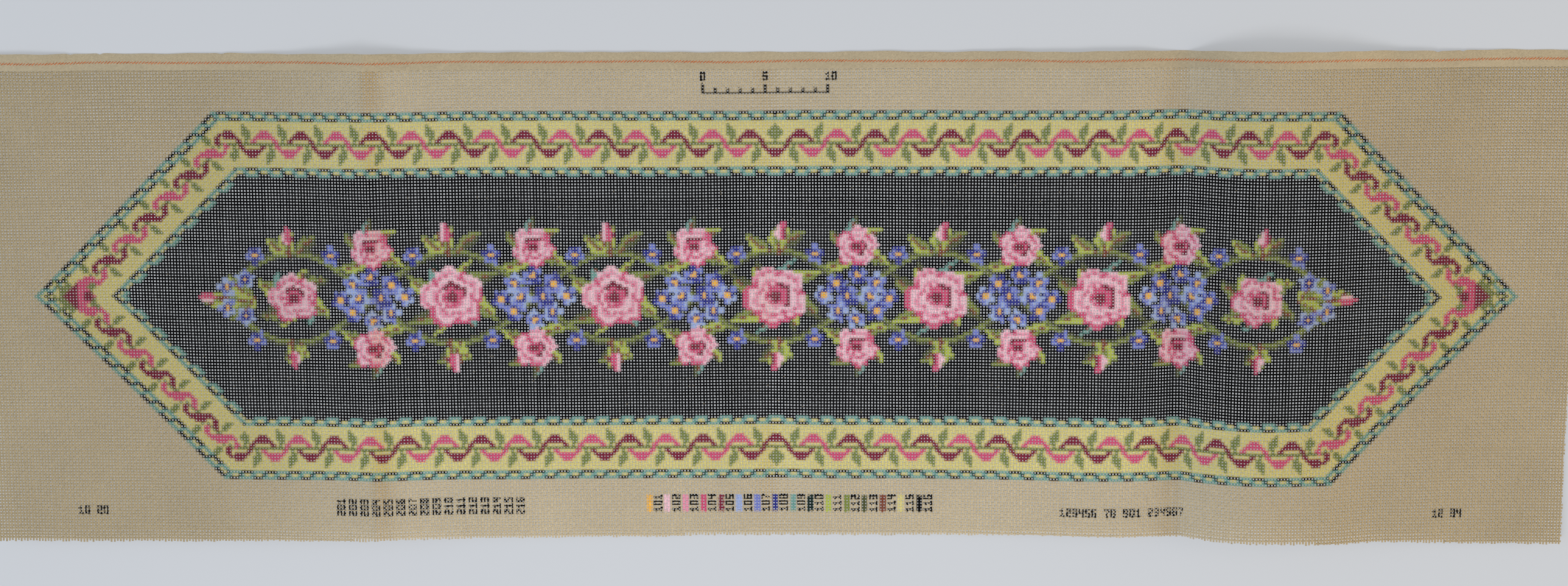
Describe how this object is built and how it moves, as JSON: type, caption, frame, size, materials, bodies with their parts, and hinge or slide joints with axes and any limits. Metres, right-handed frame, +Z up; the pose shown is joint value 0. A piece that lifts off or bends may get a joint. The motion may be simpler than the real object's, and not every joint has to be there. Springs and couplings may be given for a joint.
{
  "type": "tapestry panel",
  "caption": "Printed open-mesh cotton needlework canvas for a long runner with pointed ends, laid out flat on its old fold creases.",
  "frame": {"origin": "centre of the sheet's underside, on the surface it lies on", "axes": "+X along the length, +Y towards the woven selvedge, +Z up"},
  "size_m": [1.3, 0.406, 0.031],
  "materials": {
    "canvas": "open-mesh ecru cotton, sized stiff, printed with a worked design in flat colours",
    "selvedge": "dense twill-woven cotton edge with one orange thread"
  },
  "bodies": {
    "root": {"canvas": "canvas"}
  },
  "joints": []
}
